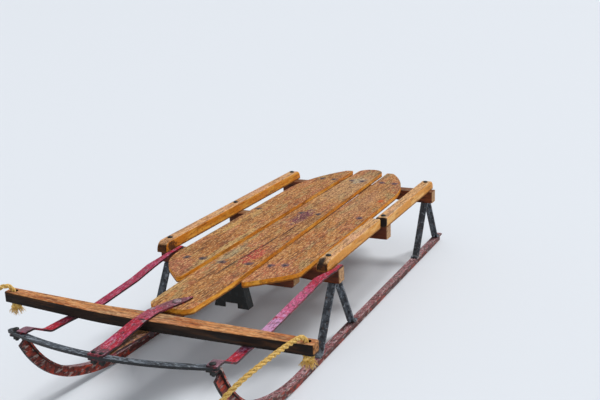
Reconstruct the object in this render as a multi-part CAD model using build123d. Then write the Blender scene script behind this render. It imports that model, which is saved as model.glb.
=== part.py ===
from build123d import *
import math
import os

# A steerable wooden runner sled of the coasting kind, in millimetres.
# Three deck slats lie on three benches and a short front cross-piece, with a rail along each side.
# Steel knees stand on T-section steel runners, whose fronts curl up to a bowed bumper.
# A wooden steering bar turns on a bolt between the two straps of the goose neck.
# The sled is old: its deck has gone askew towards the left in front, its goose neck is bent that way,
# and its left rail is broken at the middle bench, with the front part pushed inwards.
# Forward is -Y, +X is the sled's left side, +Z is up, and z = 0 is the floor.
# Stations along the sled are given from the steering bolt, at station 0.

# Stock sizes of the steel and the boards
TREAD_WIDTH = 16.0
TREAD_THICK = 3.5
WEB_DEPTH = 15.5
WEB_THICK = 5.0
STRAP_THICK = 3.5
STRIP_WIDTH = 19.0
SLAT_THICK = 11.0
BENCH_DEPTH = 29.0
BENCH_THICK = 28.0
CROSSPIECE_DEPTH = 27.0
CROSSPIECE_THICK = 20.0
RAIL_WIDTH = 24.0
RAIL_HEIGHT = 22.0

# Heights
KNEE_HEIGHT = 121.0
TREAD_TOP = WEB_DEPTH + TREAD_THICK
BENCH_BOTTOM = TREAD_TOP + KNEE_HEIGHT
BENCH_TOP = BENCH_BOTTOM + BENCH_THICK
DECK_TOP = BENCH_TOP + SLAT_THICK

# Stations along the sled
BENCH_STATIONS = (356.0, 645.0, 961.0)
CROSSPIECE_STATION = 285.0
RUNNER_END = 1085.0
DECK_END = 1092.0
SLAT_END = 1064.0
SLAT_SHOULDER = 835.0
NOSE_STATION = 42.0
BUMPER_STATION = -145.5
CURL_FOOT_STATION = 96.0
CURL_BEND_STATION = -58.5
CURL_TOP_STATION = -97.0
CURL_BEND_SHARE = 0.391
CURL_TOP_SHARE = 0.903
CURL_RADII = (460.0, 205.0)
RAIL_FRONT_REACH = 35.0
RAIL_REAR_REACH = 28.0

# Places across the sled
BENCH_HALF = 208.0
BENCH_SHORTER = (5.0, 9.0, 0.0)
RUNNER_X = BENCH_HALF - 21.0
RAIL_OUTER_X = BENCH_HALF - 10.0
RAIL_INNER_X = RAIL_OUTER_X - RAIL_WIDTH
RAIL_BREAK_GAP = 11.0
RAIL_BREAK_STEP = 10.0
CROSSPIECE_HALF = 133.0

# Deck plan: half widths from the deck's own middle line, which leans to the left in front
DECK_SKEW = 8.0
CENTRE_HALF_FRONT = 49.5
CENTRE_HALF_REAR = 33.0
NOSE_NARROWING = 4.0
SLAT_GAP_FRONT = 11.0
SLAT_GAP_REAR = 16.0
RAIL_GAP_FRONT = 30.0
RAIL_GAP_REAR = 32.5
DECK_HALF_FRONT = RAIL_INNER_X - RAIL_GAP_FRONT
DECK_HALF_REAR = RAIL_INNER_X - RAIL_GAP_REAR
SLAT_FRONT = {"left": 187.0, "right": 172.0}
SLAT_CORNER_RADIUS = {"left": 35.0, "right": 140.0}

# Steering bar and its bolt
BAR_LENGTH = 610.0
BAR_MID_WIDTH = 36.0
BAR_END_WIDTH = 24.0
BAR_THICK = 19.0
BAR_CLEARANCE = 0.3
BAR_LIFT = 9.0
BAR_LIFT_START = 100.0
BAR_LIFT_RADIUS = 1500.0
STEER_RANGE = 12.0
BOLT_RADIUS = 4.0
BOLT_CLEARANCE = 0.05
BOLT_HEAD_RADIUS = 7.5
BOLT_HEAD_HEIGHT = 3.2
NUT_ACROSS = 13.0
NUT_HEIGHT = 7.0
ROPE_HOLE_X = BAR_LENGTH / 2 - 15.0
ROPE_HOLE_RADIUS = 6.5

# Goose neck, side strips and bumper
NECK_WIDTH = 25.0
NECK_FRONT_WIDTH = 29.0
NECK_OFFSET = -3.0
NOSE_BOLT = (12.0, 67.0)
NECK_TIP = (26.0, 94.0)
STRIP_CLEARANCE = 5.0
STRIP_TIP_WIDTH = 8.0
STRIP_SEAT_GAP = 6.0
STRIP_RISE_START = 70.0
STRIP_INSETS = {
    "left": ((-125.0, -3.0), (-15.0, 1.0), (60.0, 1.0), (180.0, 1.0), (285.0, 1.0)),
    "right": ((-125.0, 16.0), (-15.0, 20.0), (60.0, 29.0), (180.0, 29.0), (250.0, 22.0)),
}
BUMPER_WIDTH = 13.0
BUMPER_THICK = 4.5
BUMPER_HALF = 201.0
BUMPER_OFFSET = -3.0
BUMPER_BOW = 29.0

# Bracket under the front cross-piece
BRACKET_HEIGHT = 59.0
BRACKET_TOP_HALF = 24.0
BRACKET_FOOT_HALF = 38.0
BRACKET_DEPTH = 22.0
BRACKET_WALL = 3.0

# Rope
ROPE_DIAMETER = 9.0
COIL_RADIUS = 45.0
COIL_CENTRE = (10.0, -205.0)

BAR_TOP = DECK_TOP - BAR_CLEARANCE
BAR_BOTTOM = BAR_TOP - BAR_THICK
BUMPER_TOP = BENCH_TOP + STRAP_THICK
BUMPER_BOTTOM = BUMPER_TOP - BUMPER_THICK
BUMPER_RADIUS = (RUNNER_X**2 + BUMPER_BOW**2) / (2 * BUMPER_BOW)
FRONT_STATION = BUMPER_STATION - BUMPER_WIDTH / 2
ROW_SHIFT = -(FRONT_STATION + DECK_END) / 2
SIDES = (("left", 1), ("right", -1))


def block(x0, x1, y0, y1, z0, z1):
    """Box between two corners."""
    size = Box(abs(x1 - x0), abs(y1 - y0), abs(z1 - z0))
    return Pos((x0 + x1) / 2, (y0 + y1) / 2, (z0 + z1) / 2) * size


def prism(points, z0, z1):
    """Plan outline (x, y) raised from z0 to z1."""
    face = make_face(Polyline(*points, close=True))
    return extrude(Pos(0, 0, z0) * face, z1 - z0)


def rod(x, y, z0, z1, radius):
    """Upright round rod."""
    return Pos(x, y, (z0 + z1) / 2) * Cylinder(radius, z1 - z0)


def flat_bar(points, radii, width, thick, x=0.0):
    """Flat bar of one width, bent along a side profile of (y, z) points."""
    path = FilletPolyline(*[(x, y, z) for y, z in points], radius=radii)
    plane = Plane(origin=path @ 0, x_dir=(1, 0, 0), z_dir=path % 0)
    return sweep(plane * Rectangle(width, thick), path=path)


def trim(shape, rows):
    """Trim a bent bar to a plan given by rows of station, middle and width."""
    plan = [(middle - wide / 2, station) for station, middle, wide in rows]
    plan += [(middle + wide / 2, station) for station, middle, wide in reversed(rows)]
    return shape & prism(plan, 0, DECK_TOP + 50)


def askew(x, station):
    """Point of the deck's plan, moved to the left the more, the nearer it lies to the nose."""
    share = (SLAT_END - station) / (SLAT_END - NOSE_STATION)
    return (x + DECK_SKEW * share, station)


def bench(station, shorter):
    """Cross bench with eased corners and a shallow arch cut below its middle."""
    half, half_depth = BENCH_HALF - shorter, BENCH_DEPTH / 2
    body = block(-half, half, station - half_depth, station + half_depth, BENCH_BOTTOM, BENCH_TOP)
    body = fillet(body.edges().filter_by(Axis.Z), 4)
    arch_rise = BENCH_THICK * 0.25
    arch_half = RUNNER_X - 40
    arch_radius = (arch_half**2 + arch_rise**2) / (2 * arch_rise)
    cutter = Rot(90, 0, 0) * Cylinder(arch_radius, BENCH_DEPTH * 2)
    body -= Pos(0, station, BENCH_BOTTOM + arch_rise - arch_radius) * cutter
    return body


def front_crosspiece():
    """Short cross-piece that ties the fronts of the three slats together."""
    middle = askew(0, CROSSPIECE_STATION)[0]
    half, depth = CROSSPIECE_HALF, CROSSPIECE_DEPTH / 2
    low = BENCH_TOP - CROSSPIECE_THICK
    front, rear = CROSSPIECE_STATION - depth, CROSSPIECE_STATION + depth
    body = block(middle - half, middle + half, front, rear, low, BENCH_TOP)
    return chamfer(body.edges().filter_by(Axis.Y).group_by(Axis.Z)[0], 4)


def centre_bracket():
    """Pressed steel bracket under the front cross-piece: a splayed shell, open behind, on two feet."""
    top = BENCH_TOP - CROSSPIECE_THICK
    low = top - BRACKET_HEIGHT
    notch_half, notch_rise = 14.0, 10.0

    def shell(inset, start, depth):
        outline = [
            (-BRACKET_TOP_HALF + inset, top - inset),
            (BRACKET_TOP_HALF - inset, top - inset),
            (BRACKET_FOOT_HALF - inset, low),
            (-BRACKET_FOOT_HALF + inset, low),
        ]
        face = make_face(Polyline(*[(x, start, z) for x, z in outline], close=True))
        return extrude(face, depth, dir=(0, 1, 0))

    front = CROSSPIECE_STATION - BRACKET_DEPTH / 2
    body = shell(0, front, BRACKET_DEPTH) - shell(BRACKET_WALL, front + BRACKET_WALL, BRACKET_DEPTH)
    notch = block(-notch_half, notch_half, front - 1, front + BRACKET_DEPTH + 1, low - 1, low + notch_rise)
    return body - notch


def side_slat(name, side):
    """Outer deck slat: its front cut back at 45 degrees and its rear swept round."""
    front = SLAT_FRONT[name]
    inner_front = CENTRE_HALF_FRONT + SLAT_GAP_FRONT
    inner_rear = CENTRE_HALF_REAR + SLAT_GAP_REAR
    corner_station = front + DECK_HALF_FRONT - inner_front
    rear_corner = inner_rear + 17.0
    sweep_drop = DECK_HALF_REAR - rear_corner
    sweep_run = SLAT_END - SLAT_SHOULDER
    sweep_radius = (sweep_drop**2 + sweep_run**2) / (2 * sweep_drop)
    half_turn = math.asin(sweep_run / sweep_radius) / 2
    sweep_middle_x = DECK_HALF_REAR - sweep_radius * (1 - math.cos(half_turn))
    sweep_middle = SLAT_SHOULDER + sweep_radius * math.sin(half_turn)
    plan = [
        (inner_rear, SLAT_END),
        (inner_front, front),
        (DECK_HALF_FRONT, corner_station),
        (DECK_HALF_REAR, SLAT_SHOULDER),
        (sweep_middle_x, sweep_middle),
        (rear_corner, SLAT_END),
    ]
    points = [askew(side * x, station) for x, station in plan]
    edge = [Polyline(*points[:4]), ThreePointArc(*points[3:]), Line(points[5], points[0])]
    slat = extrude(Pos(0, 0, BENCH_TOP) * make_face(Curve() + edge), SLAT_THICK)
    radii = ((1, 6.0), (2, SLAT_CORNER_RADIUS[name]), (5, 14.0), (0, 3.0))
    for number, radius in radii:
        x, station = points[number]
        slat = fillet(slat.edges().filter_by(Axis.Z).sort_by_distance((x, station, DECK_TOP))[0], radius)
    return slat


def centre_slat():
    """Middle slat, which runs on to the nose under the goose neck and to a rounded tail."""
    flank, tail = 190.0, DECK_END - 38
    nose_half = CENTRE_HALF_FRONT - NOSE_NARROWING
    left = [
        (nose_half - 14, NOSE_STATION),
        (nose_half - 2, NOSE_STATION + 13),
        (nose_half, NOSE_STATION + 42),
        (CENTRE_HALF_FRONT, flank),
        (CENTRE_HALF_REAR, tail),
    ]
    right = [askew(-x, station) for x, station in left]
    left = [askew(x, station) for x, station in left]
    edge = [
        Polyline(*left),
        ThreePointArc(left[-1], askew(0, DECK_END), right[-1]),
        Polyline(*reversed(right)),
        Line(right[0], left[0]),
    ]
    slat = extrude(Pos(0, 0, BENCH_TOP) * make_face(Curve() + edge), SLAT_THICK)
    corners = [e for e in slat.edges().filter_by(Axis.Z) if e.center().Y < flank - 20]
    slat = fillet(corners, 11)
    return slat - rod(*NOSE_BOLT, BENCH_TOP - 1, DECK_TOP + 1, BOLT_RADIUS)


def rail_bar(outer, front, rear, round_front, round_rear):
    """Stretch of side rail on the left side, its given ends rounded over to the top."""
    top = BENCH_TOP + RAIL_HEIGHT
    rail = block(outer - RAIL_WIDTH, outer, front, rear, BENCH_TOP, top)
    ends = rail.edges().filter_by(Axis.X).group_by(Axis.Z)[-1].sort_by(Axis.Y)
    rounded = [ends[0]] * round_front + [ends[-1]] * round_rear
    rail = fillet(rounded, RAIL_HEIGHT * 0.85)
    top_edges = [e for e in rail.edges().filter_by(Axis.Y) if e.center().Z > top - 1]
    return fillet(top_edges, 3)


def rail_span():
    """Front and rear end of a whole rail."""
    return BENCH_STATIONS[0] - RAIL_FRONT_REACH, BENCH_STATIONS[2] + RAIL_REAR_REACH


def side_rail_right():
    """Whole rail along the right side."""
    return mirror(rail_bar(RAIL_OUTER_X, *rail_span(), True, True), Plane.YZ)


def side_rail_left():
    """Rear part of the broken left rail, from the middle bench backwards."""
    break_station = BENCH_STATIONS[1] - BENCH_DEPTH / 2
    return rail_bar(RAIL_OUTER_X, break_station, rail_span()[1], False, True)


def side_rail_left_front():
    """Front part of the broken left rail, held by the front bench alone and pushed inwards."""
    break_station = BENCH_STATIONS[1] - BENCH_DEPTH / 2
    outer = RAIL_OUTER_X - RAIL_BREAK_STEP
    rail = rail_bar(outer, rail_span()[0], break_station - RAIL_BREAK_GAP, True, False)
    chip = Pos(outer - RAIL_WIDTH, rail_span()[0], BENCH_TOP + RAIL_HEIGHT) * Rot(0, 0, 20)
    return rail - chip * Box(10, 50, 14)


def knee(station, side):
    """Pressed steel standard: a saddle under the bench, two raked legs and a foot under each."""
    foot_reach, leg_reach = 85.0, 13.0
    thick, width, foot_half = 4.0, TREAD_WIDTH, 14.0
    low, high = TREAD_TOP, BENCH_BOTTOM
    legs = []
    for way in (-1, 1):
        points = [
            (station + way * (foot_reach + foot_half), low + thick / 2),
            (station + way * (foot_reach - 2), low + thick / 2),
            (station + way * leg_reach, high - thick / 2),
            (station, high - thick / 2),
        ]
        legs.append(flat_bar(points, [6, 6], width, thick, RUNNER_X))
    solid = legs[0] + legs[1]
    rib_top, rib_low = high - thick, low + thick
    for way in (-1, 1):
        line = [
            (station + way * (foot_reach - 4), rib_low),
            (station + way * (foot_reach - 14), rib_low),
            (station + way * 2, rib_top),
            (station + way * (leg_reach - 1), rib_top),
        ]
        face = make_face(Polyline(*[(RUNNER_X - 2, y, z) for y, z in line], close=True))
        solid += extrude(face, 4, dir=(1, 0, 0))
    return solid if side > 0 else mirror(solid, Plane.YZ)


def runner(side):
    """T-section runner: a flat tread over a web, curled up in front and ended by a tab under the bumper.

    Its straight run and its curled front are two solids, which meet face to face where the curl starts.
    """
    tread = TREAD_TOP - TREAD_THICK / 2
    hook = BUMPER_BOTTOM - TREAD_THICK / 2
    points = [
        (RUNNER_END, tread),
        (CURL_FOOT_STATION, tread),
        (CURL_BEND_STATION, tread + (hook - tread) * CURL_BEND_SHARE),
        (CURL_TOP_STATION, tread + (hook - tread) * CURL_TOP_SHARE),
    ]
    path = FilletPolyline(*[(RUNNER_X, y, z) for y, z in points], radius=CURL_RADII)
    plane = Plane(origin=path @ 0, x_dir=(1, 0, 0), z_dir=path % 0)
    below = -1 if plane.y_dir.Z > 0 else 1
    section = Rectangle(TREAD_WIDTH, TREAD_THICK)
    web = Rectangle(WEB_THICK, WEB_DEPTH)
    section += Pos(0, below * (TREAD_THICK + WEB_DEPTH) / 2) * web
    body = sweep(plane * section, path=path)
    end, way = path @ 1, path % 1
    start = end - way * 6
    corner = end + way * ((hook - end.Z) / way.Z)
    tab_end = BUMPER_STATION + BUMPER_BOW - BUMPER_WIDTH / 2
    tab = [(start.Y, start.Z), (corner.Y, corner.Z), (tab_end, hook)]
    body += flat_bar(tab, [9.0], TREAD_WIDTH, TREAD_THICK, RUNNER_X)
    body = body if side > 0 else mirror(body, Plane.YZ)
    rise = math.atan2((hook - tread) * CURL_BEND_SHARE, CURL_FOOT_STATION - CURL_BEND_STATION)
    curl_start = CURL_FOOT_STATION + CURL_RADII[0] * math.tan(rise / 2)
    straight = block(-BENCH_HALF, BENCH_HALF, curl_start, RUNNER_END + 1, -1, DECK_TOP)
    return body & straight, body - straight


def side_strip(name, side):
    """Flat strip from the bumper's end, under the steering bar and back onto the front bench.

    It is down before the turned bar comes over it.
    """
    top = BUMPER_TOP + STRAP_THICK / 2
    low = BAR_BOTTOM - STRIP_CLEARANCE - STRAP_THICK / 2
    seat = BENCH_TOP + STRAP_THICK / 2
    front = BUMPER_STATION + BUMPER_BOW - BUMPER_WIDTH / 2
    ramp_start = front + BUMPER_WIDTH + 9
    bench_front = BENCH_STATIONS[0] - BENCH_DEPTH / 2
    tip_end = bench_front + BENCH_DEPTH - 6
    bar_reach = BAR_MID_WIDTH / 2 + RUNNER_X * math.sin(math.radians(STEER_RANGE))
    points = [
        (front, top),
        (ramp_start, top),
        (-bar_reach - STRIP_CLEARANCE, low),
        (STRIP_RISE_START, low),
        (bench_front - 18, seat),
        (tip_end, seat),
    ]
    sheet_width = RUNNER_X * 0.7
    strip = flat_bar(points, [20.0, 25.0, 400.0, 60.0], sheet_width, STRAP_THICK, RUNNER_X)
    beside = STRIP_SEAT_GAP + STRIP_TIP_WIDTH / 2
    seat_x = RAIL_OUTER_X - RAIL_BREAK_STEP + beside if name == "left" else RAIL_INNER_X - beside
    rows = [(station, RUNNER_X - inset, STRIP_WIDTH) for station, inset in STRIP_INSETS[name]]
    rows += [(bench_front - 8, seat_x, STRIP_TIP_WIDTH), (tip_end + 1, seat_x, STRIP_TIP_WIDTH)]
    strip = trim(strip, rows)
    return strip if side > 0 else mirror(strip, Plane.YZ)


def bumper():
    """Flat bar lying flat and bowed forward, with rounded ends beyond the runners."""
    centre = BUMPER_STATION + BUMPER_RADIUS
    reach = math.degrees(math.asin(BUMPER_HALF / BUMPER_RADIUS))
    outer = BUMPER_RADIUS + BUMPER_WIDTH / 2
    inner = BUMPER_RADIUS - BUMPER_WIDTH / 2
    ring = Cylinder(outer, BUMPER_THICK) - Cylinder(inner, BUMPER_THICK * 2)
    far = BUMPER_RADIUS * 2
    edge = math.tan(math.radians(reach)) * far
    wedge = prism([(0, 0), (edge, -far), (-edge, -far)], -BUMPER_THICK, BUMPER_THICK)
    slew = math.degrees(math.asin(BUMPER_OFFSET / BUMPER_RADIUS))
    bar = Pos(0, centre, BUMPER_TOP - BUMPER_THICK / 2) * Rot(0, 0, slew) * (ring & wedge)
    return fillet(bar.edges().filter_by(Axis.Z), BUMPER_WIDTH / 2 - 1)


def neck_strap(points, radii):
    """One goose neck strap, bent in side view, trimmed to its bent plan and drilled for its bolts."""
    bolt_x, bolt_station = NOSE_BOLT
    tip_x, tip_station = NECK_TIP
    strap = flat_bar(points, radii, NECK_FRONT_WIDTH * 3, STRAP_THICK)
    rows = [
        (BUMPER_STATION - BUMPER_WIDTH / 2 + 0.5, 0.0, NECK_FRONT_WIDTH),
        (-BAR_MID_WIDTH / 2, NECK_OFFSET, NECK_WIDTH),
        (BAR_MID_WIDTH / 2, NECK_OFFSET, NECK_WIDTH),
        (bolt_station + 6, bolt_x + 2, NECK_WIDTH),
        (tip_station, tip_x, 4.0),
    ]
    strap = trim(strap, rows)
    for x, station in ((0.0, 0.0), NOSE_BOLT):
        strap -= rod(x, station, 0, DECK_TOP + 50, BOLT_RADIUS)
    return strap


def neck_upper():
    """Upper strap: on the deck's nose, over the bar and down to the bumper's top."""
    high = DECK_TOP + STRAP_THICK / 2
    seat = BUMPER_TOP + STRAP_THICK / 2
    points = [(NECK_TIP[1], high), (-27, high), (-110, seat), (BUMPER_STATION - BUMPER_WIDTH / 2, seat)]
    return neck_strap(points, [25.0, 60.0])


def neck_lower():
    """Lower strap: under the nose, under the bar and forward to the bumper's underside."""
    nose = BENCH_TOP - STRAP_THICK / 2
    low = BAR_BOTTOM - BAR_CLEARANCE - STRAP_THICK / 2
    seat = BUMPER_BOTTOM - STRAP_THICK / 2
    points = [
        (NECK_TIP[1] - 8, nose),
        (NOSE_STATION + 4, nose),
        (25, low),
        (-30, low),
        (-112, seat),
        (BUMPER_STATION - BUMPER_WIDTH / 2, seat),
    ]
    return neck_strap(points, [15.0, 15.0, 60.0, 60.0])


def dome(x, station, base):
    """Domed bolt head standing on a plate."""
    radius = (BOLT_HEAD_RADIUS**2 + BOLT_HEAD_HEIGHT**2) / (2 * BOLT_HEAD_HEIGHT)
    ball = Pos(x, station, base + BOLT_HEAD_HEIGHT - radius) * Sphere(radius)
    return ball & rod(x, station, base, base + BOLT_HEAD_HEIGHT + 1, BOLT_HEAD_RADIUS)


def carriage_bolt(x, station, over, under, tail):
    """Round-headed bolt from its head above to its hexagon nut below, with a bare tail."""
    shank = rod(x, station, under - NUT_HEIGHT - tail, over, BOLT_RADIUS)
    face = RegularPolygon(NUT_ACROSS / 2, 6, major_radius=False)
    nut = extrude(Pos(x, station, under - NUT_HEIGHT) * face, NUT_HEIGHT)
    return shank + dome(x, station, over) + nut


def pivot_bolt():
    """Steering bolt, with its nut below the lower strap."""
    return carriage_bolt(0, 0, DECK_TOP + STRAP_THICK, BAR_BOTTOM - BAR_CLEARANCE - STRAP_THICK, 6)


def nose_bolt():
    """Bolt through the nose and both straps."""
    return carriage_bolt(*NOSE_BOLT, DECK_TOP + STRAP_THICK, BENCH_TOP - STRAP_THICK, 2)


def bar_lift(x):
    """How far the bar's warped right arm has risen at x."""
    return BAR_LIFT * max(0.0, -x - BAR_LIFT_START) / (BAR_LENGTH / 2 - BAR_LIFT_START)


def steering_bar():
    """Wooden bar, tapered in plan to both ends, its right arm warped upwards, with its holes."""
    half, mid, end = BAR_LENGTH / 2, BAR_MID_WIDTH / 2, BAR_END_WIDTH / 2
    flat = 30.0
    middle = BAR_TOP - BAR_THICK / 2
    line = [(x, 0, middle + bar_lift(x)) for x in (half + 2, -BAR_LIFT_START, -half - 2)]
    path = FilletPolyline(*line, radius=BAR_LIFT_RADIUS)
    plane = Plane(origin=path @ 0, x_dir=(0, 1, 0), z_dir=path % 0)
    board = sweep(plane * Rectangle(BAR_MID_WIDTH + 2, BAR_THICK), path=path)
    back = [(half, end), (flat, mid), (-flat, mid), (-half, end)]
    front = [(x, -y) for x, y in reversed(back)]
    bar = board & prism(back + front, 0, DECK_TOP + 50)
    uprights = [e for e in bar.edges() if abs((e % 0.5).Z) > 0.9]
    bar = fillet([e for e in uprights if abs(e.center().X) > half - 2], 4)
    level = [e for e in bar.edges() if abs((e % 0.5).Z) < 0.3]
    upper = [e for e in level if e.center().Z - bar_lift(e.center().X) > BAR_TOP - BAR_THICK / 4]
    bar = fillet([e for e in upper if abs(e.center().Y) > 2 or abs(e.center().X) > half - 2], 2)
    bar -= rod(0, 0, 0, DECK_TOP + 20, BOLT_RADIUS + BOLT_CLEARANCE)
    for x in (-ROPE_HOLE_X, ROPE_HOLE_X):
        bar -= rod(x, 0, 0, DECK_TOP + 30, ROPE_HOLE_RADIUS)
    return bar


# Route of the rope from the left hole to the coil, and from the coil to the right hole
KNOT_TOP = BAR_BOTTOM - 0.3
HOLE_LIFT = bar_lift(-ROPE_HOLE_X)
FLOOR_RUN = ROPE_DIAMETER / 2 + 0.3
COIL_FRONT = COIL_CENTRE[1] - COIL_RADIUS - ROPE_DIAMETER / 2
LEFT_ROUTE = [
    (ROPE_HOLE_X, 0.0, KNOT_TOP),
    (ROPE_HOLE_X, 0.0, 192.0),
    (279.0, -47.0, 191.0),
    (266.0, -96.0, 184.0),
    (246.0, -139.0, 168.0),
    (222.0, -166.0, 140.0),
    (206.0, -181.0, 98.0),
    (196.0, -193.0, 52.0),
    (168.0, -213.0, 10.0),
    (122.0, -240.0, FLOOR_RUN),
    (74.0, -253.0, FLOOR_RUN),
    (22.0, COIL_FRONT, FLOOR_RUN),
]
RIGHT_ROUTE = [
    (-2.0, COIL_FRONT + ROPE_DIAMETER / 2, 12.6),
    (-50.0, -247.0, 8.0),
    (-106.0, -236.0, FLOOR_RUN),
    (-168.0, -236.0, FLOOR_RUN),
    (-232.0, -216.0, FLOOR_RUN),
    (-290.0, -172.0, 12.0),
    (-322.0, -124.0, 54.0),
    (-333.0, -88.0, 104.0),
    (-332.0, -58.0, 154.0),
    (-316.0, -30.0, 194.0),
    (-ROPE_HOLE_X, 0.0, 194.0 + HOLE_LIFT),
    (-ROPE_HOLE_X, 0.0, KNOT_TOP + HOLE_LIFT),
]


def rope_knot(side):
    """Stopper knot under the bar, wider than the rope hole."""
    x, radius, height = side * ROPE_HOLE_X, 11.0, 20.0
    top = KNOT_TOP + bar_lift(x)
    return Pos(x, 0, top - height / 2) * Sphere(radius + 1.5) & rod(x, 0, top - height, top, radius)


def corner_radii(points):
    """Radius for each corner: 0.45 of the shorter run over the tangent of half the turn."""
    radii = []
    for a, b, c in zip(points[:-2], points[1:-1], points[2:]):
        one, two = Vector(*b) - Vector(*a), Vector(*c) - Vector(*b)
        turn = math.radians(one.get_angle(two))
        radii.append(0.45 * min(one.length, two.length) / math.tan(turn / 2))
    return radii


def rope_tube(points):
    """Plain round tube along a route."""
    radii = corner_radii(points)
    path = FilletPolyline(*points, radius=radii)
    plane = Plane(origin=path @ 0, z_dir=path % 0)
    tube = sweep(plane * Circle(ROPE_DIAMETER / 2), path=path)
    plain = path.length * math.pi * ROPE_DIAMETER**2 / 4
    print("rope radii", [round(r) for r in radii], "length", round(path.length, 1))
    print("tube volume over section times length", round(tube.volume / plain, 4))
    return tube


def rope_coil():
    """Outer shape of the wound coil on the floor: two turns side by side and one on top."""
    x, y = COIL_CENTRE
    height = ROPE_DIAMETER * 1.9
    ring = Cylinder(COIL_RADIUS + ROPE_DIAMETER, height)
    ring -= Cylinder(COIL_RADIUS - ROPE_DIAMETER, height * 2)
    return Pos(x, y, height / 2) * ring


nodes = {
    "deck_slat_centre": centre_slat(),
    "front_crosspiece": front_crosspiece(),
    "centre_bracket": centre_bracket(),
    "side_rail_right": side_rail_right(),
    "side_rail_left": side_rail_left(),
    "side_rail_left_front": side_rail_left_front(),
    "bumper": bumper(),
    "goose_neck_upper": neck_upper(),
    "goose_neck_lower": neck_lower(),
    "nose_bolt": nose_bolt(),
    "pivot_bolt": pivot_bolt(),
    "steering_bar": steering_bar(),
    "rope_coil": rope_coil(),
    "rope_left": rope_tube(LEFT_ROUTE),
    "rope_right": rope_tube(RIGHT_ROUTE),
}
for name, station, shorter in zip(("front", "middle", "rear"), BENCH_STATIONS, BENCH_SHORTER):
    nodes[f"bench_{name}"] = bench(station, shorter)
for name, side in SIDES:
    nodes[f"deck_slat_{name}"] = side_slat(name, side)
    nodes[f"runner_{name}"], nodes[f"runner_front_{name}"] = runner(side)
    nodes[f"side_strip_{name}"] = side_strip(name, side)
    nodes[f"rope_knot_{name}"] = rope_knot(side)
    nodes[f"knee_front_{name}"] = knee(BENCH_STATIONS[0], side)
    nodes[f"knee_rear_{name}"] = knee(BENCH_STATIONS[2], side)

os.makedirs("parts", exist_ok=True)
for name, shape in nodes.items():
    export_step(Pos(0, ROW_SHIFT, 0) * shape, f"parts/{name}.step")
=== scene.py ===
"""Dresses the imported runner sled: weathered boards, worn paint, rusty steel, nails and a twisted rope.

Every place is in metres in the row frame: forward is -Y, the sled's left side is +X and up is +Z.
Sizes are written in millimetres and stations are given from the steering bolt, as in the part.
"""
import logging
import math
from dataclasses import dataclass, field, replace
from enum import Enum

import bmesh
import bpy
import numpy as np
from mathutils import Matrix, Vector

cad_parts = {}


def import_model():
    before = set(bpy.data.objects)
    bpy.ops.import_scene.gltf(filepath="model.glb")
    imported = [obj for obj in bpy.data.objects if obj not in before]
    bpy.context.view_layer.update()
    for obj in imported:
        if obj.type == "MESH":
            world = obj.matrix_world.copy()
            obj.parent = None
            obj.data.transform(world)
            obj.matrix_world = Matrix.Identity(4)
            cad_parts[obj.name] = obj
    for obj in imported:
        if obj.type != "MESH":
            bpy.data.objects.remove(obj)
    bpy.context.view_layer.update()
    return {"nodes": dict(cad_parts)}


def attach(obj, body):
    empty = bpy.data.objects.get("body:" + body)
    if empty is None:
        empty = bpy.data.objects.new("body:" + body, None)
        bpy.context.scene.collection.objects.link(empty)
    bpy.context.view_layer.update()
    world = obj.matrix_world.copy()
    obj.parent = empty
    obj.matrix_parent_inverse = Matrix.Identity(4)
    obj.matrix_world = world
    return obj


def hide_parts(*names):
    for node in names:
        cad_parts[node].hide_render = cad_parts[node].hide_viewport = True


LOG = logging.getLogger("runner_sled")
MM = 0.001

# Sizes that the part gives too, in millimetres
ROW_SHIFT = -470.0
DECK_TOP = 179.0
BENCH_TOP = 168.0
RAIL_TOP = 190.0
BAR_BOTTOM = 159.7
STRAP_THICK = 3.5
BUMPER_TOP = 171.5
BUMPER_BOTTOM = 167.0
RUNNER_X = 187.0
KNEE_STATIONS = (356.0, 961.0)

# Nails of each deck slat: x and station
NAILS = {
    "right": ((-102.0, 285.0), (-68.0, 287.0), (-126.0, 645.0), (-97.0, 961.0), (-64.0, 961.0)),
    "centre": ((-20.0, 282.0), (35.0, 288.0), (-15.0, 645.0), (27.0, 645.0), (-14.0, 961.0), (16.0, 961.0)),
    "left": ((80.0, 292.0), (107.0, 304.0), (129.0, 645.0), (69.0, 961.0), (103.0, 961.0)),
}

EVERYWHERE = math.inf
MERGE_DISTANCE = 1e-6
NOISE_ROUGHNESS = 0.6
# The noise of a layer is shifted by its seed, times these
SEED_WAY = (1.0, 0.7, 1.3)
# Stains and patches of painted shade are whole within the first share of their half sizes, and gone beyond
# the second
PATCH_WHOLE = 0.6
PATCH_GONE = 1.1
# Sockets of the Mix node for colours: the factor, the two colours and the result
MIX_FACTOR, MIX_UNDER, MIX_OVER, MIX_RESULT = 0, 6, 7, 2

Point = tuple[float, float, float]
Colour = tuple[float, float, float, float]
Socket = bpy.types.NodeSocket
Tree = bpy.types.NodeTree


class GrainAxis(Enum):
    """Direction that the grain or the drawn-out wear of a piece runs in."""

    ACROSS = 0
    ALONG = 1


class Facing(Enum):
    """Faces that look one way: part of the normal, whether its sign counts, and where the mask is 0 and 1."""

    UNDER = (2, True, -0.25, -0.55)
    FORWARD = (1, True, -0.3, -0.6)
    UPRIGHT = (2, False, 0.75, 0.45)
    TO_THE_SIDES = (0, False, 0.6, 0.85)
    TO_THE_ENDS = (1, False, 0.6, 0.85)


class Body(Enum):
    """The two CAD bodies that pieces ride on."""

    SLED = "sled"
    STEERING = "steering"


@dataclass(frozen=True)
class Layer:
    """One cloudy layer of a finish: grain, fading, grime, specks, and on varnished sides streaks of painted
    highlight.

    It is noise with lumps of size_mm, drawn out along the grain. The layer begins where the noise
    passes start and is whole where it reaches full. Relief is its height in millimetres, and gloss
    is what it takes off the roughness.
    """

    colour: str
    size_mm: float
    drawn_out: float = 1.0
    start: float = 0.5
    full: float = 0.62
    strength: float = 1.0
    seed: float = 0.0
    detail: float = 3.0
    relief: float = 0.0
    gloss: float = 0.0


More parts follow.
